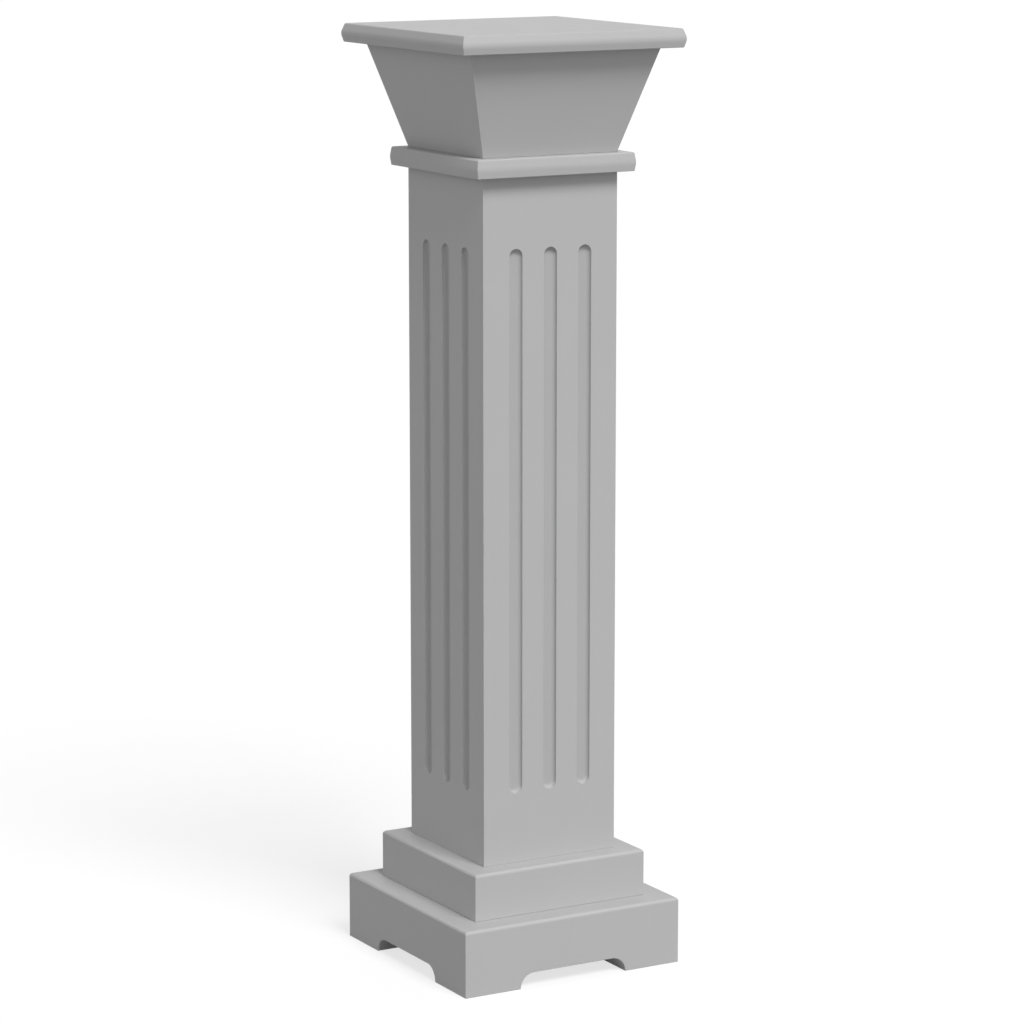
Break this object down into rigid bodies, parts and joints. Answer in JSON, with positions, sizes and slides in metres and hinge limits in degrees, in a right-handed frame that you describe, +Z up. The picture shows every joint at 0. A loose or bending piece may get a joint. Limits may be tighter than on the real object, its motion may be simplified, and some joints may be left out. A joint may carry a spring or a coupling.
{
  "type": "square fluted pillar stand",
  "caption": "Square painted pillar with fluted faces, a footed base and a flared capital under a flat top board for a plant pot.",
  "frame": {"origin": "centre of the square footprint, on the floor under the four feet", "axes": "+Z up the pillar; X and Y square to its four faces, which are alike"},
  "size_m": [0.1746, 0.1745, 0.66],
  "materials": {
    "grey_paint": "satin"
  },
  "bodies": {
    "root": {"footed_base": "grey_paint", "plinth_step": "grey_paint", "shaft": "grey_paint", "collar_board": "grey_paint", "capital": "grey_paint", "top_board": "grey_paint"}
  },
  "joints": []
}
